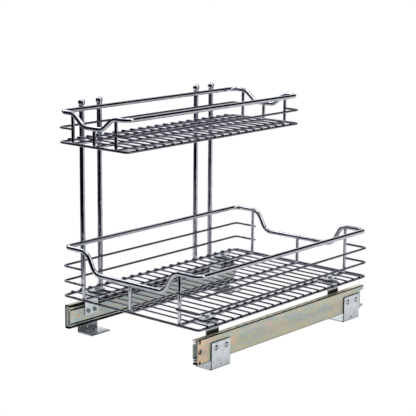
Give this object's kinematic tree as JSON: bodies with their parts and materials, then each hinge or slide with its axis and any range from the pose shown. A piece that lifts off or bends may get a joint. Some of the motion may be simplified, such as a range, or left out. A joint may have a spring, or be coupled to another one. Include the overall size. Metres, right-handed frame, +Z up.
{
  "type": "pull out cabinet basket",
  "caption": "Chromed wire basket on full extension ball bearing slides, with a half width wire shelf on posts above its left side and feet that screw to a cabinet floor.",
  "frame": {"origin": "on the cabinet floor, at the middle of the four foot screws", "axes": "+X to the right, +Y to the back of the cabinet, away from the user, +Z up; the basket pulls out along -Y"},
  "size_m": [0.324, 0.472, 0.4072],
  "materials": {
    "chrome": "bright chrome plate",
    "blue_zinc": "blue white zinc plate",
    "yellow_zinc": "yellow zinc plate with pink and green tints",
    "bright_steel": "polished",
    "black_plastic": "moulded"
  },
  "bodies": {
    "base": {"outer_slide_left": "yellow_zinc", "outer_slide_right": "yellow_zinc", "slide_buffers": "black_plastic", "foot_front_left": "blue_zinc", "foot_front_right": "blue_zinc", "foot_rear_left": "blue_zinc", "foot_rear_right": "blue_zinc", "foot_rivets": "blue_zinc"},
    "basket": {"inner_slide_left": "yellow_zinc", "inner_slide_right": "yellow_zinc", "carrier_front_left": "blue_zinc", "carrier_front_right": "blue_zinc", "carrier_rear_left": "blue_zinc", "carrier_rear_right": "blue_zinc", "carrier_screws": "blue_zinc", "floor_clamps": "blue_zinc", "clamp_screws": "blue_zinc", "basket_top_rail": "chrome", "basket_high_rail_left": "chrome", "basket_high_rail_right": "chrome", "basket_low_rail_left": "chrome", "basket_low_rail_right": "chrome", "basket_floor_frame": "chrome", "basket_floor_wires": "chrome", "basket_runner_left": "chrome", "basket_runner_middle": "chrome", "basket_runner_right": "chrome", "post_1": "chrome", "post_2": "chrome", "post_3": "chrome", "post_4": "chrome", "post_caps": "chrome", "shelf_top_rail": "chrome", "shelf_side_rail_left": "chrome", "shelf_side_rail_right": "chrome", "shelf_floor_frame": "chrome", "shelf_floor_wires": "chrome", "shelf_runner_left": "chrome", "shelf_runner_middle": "chrome", "shelf_runner_right": "chrome"},
    "middle_left": {"middle_slide_left": "yellow_zinc"},
    "outer_cage_left": {"outer_cage_left": "bright_steel", "outer_balls_left": "bright_steel"},
    "inner_cage_left": {"inner_cage_left": "bright_steel", "inner_balls_left": "bright_steel"},
    "middle_right": {"middle_slide_right": "yellow_zinc"},
    "outer_cage_right": {"outer_cage_right": "bright_steel", "outer_balls_right": "bright_steel"},
    "inner_cage_right": {"inner_cage_right": "bright_steel", "inner_balls_right": "bright_steel"}
  },
  "joints": [
    {"name": "basket_slide", "type": "slide", "parent": "base", "child": "basket", "axis": [0, -1, 0], "range_m": [0, 0.43]},
    {"name": "middle_left_slide", "type": "slide", "parent": "base", "child": "middle_left", "axis": [0, -1, 0], "range_m": [0, 0.215]},
    {"name": "middle_right_slide", "type": "slide", "parent": "base", "child": "middle_right", "axis": [0, -1, 0], "range_m": [0, 0.215]},
    {"name": "outer_cage_left_slide", "type": "slide", "parent": "base", "child": "outer_cage_left", "axis": [0, -1, 0], "range_m": [0, 0.1075]},
    {"name": "outer_cage_right_slide", "type": "slide", "parent": "base", "child": "outer_cage_right", "axis": [0, -1, 0], "range_m": [0, 0.1075]},
    {"name": "inner_cage_left_slide", "type": "slide", "parent": "base", "child": "inner_cage_left", "axis": [0, -1, 0], "range_m": [0, 0.3225]},
    {"name": "inner_cage_right_slide", "type": "slide", "parent": "base", "child": "inner_cage_right", "axis": [0, -1, 0], "range_m": [0, 0.3225]}
  ],
  "couplings": [
    {"joint": "middle_left_slide", "follows": "basket_slide", "ratio": 0.5},
    {"joint": "middle_right_slide", "follows": "basket_slide", "ratio": 0.5},
    {"joint": "outer_cage_left_slide", "follows": "basket_slide", "ratio": 0.25},
    {"joint": "outer_cage_right_slide", "follows": "basket_slide", "ratio": 0.25},
    {"joint": "inner_cage_left_slide", "follows": "basket_slide", "ratio": 0.75},
    {"joint": "inner_cage_right_slide", "follows": "basket_slide", "ratio": 0.75}
  ]
}
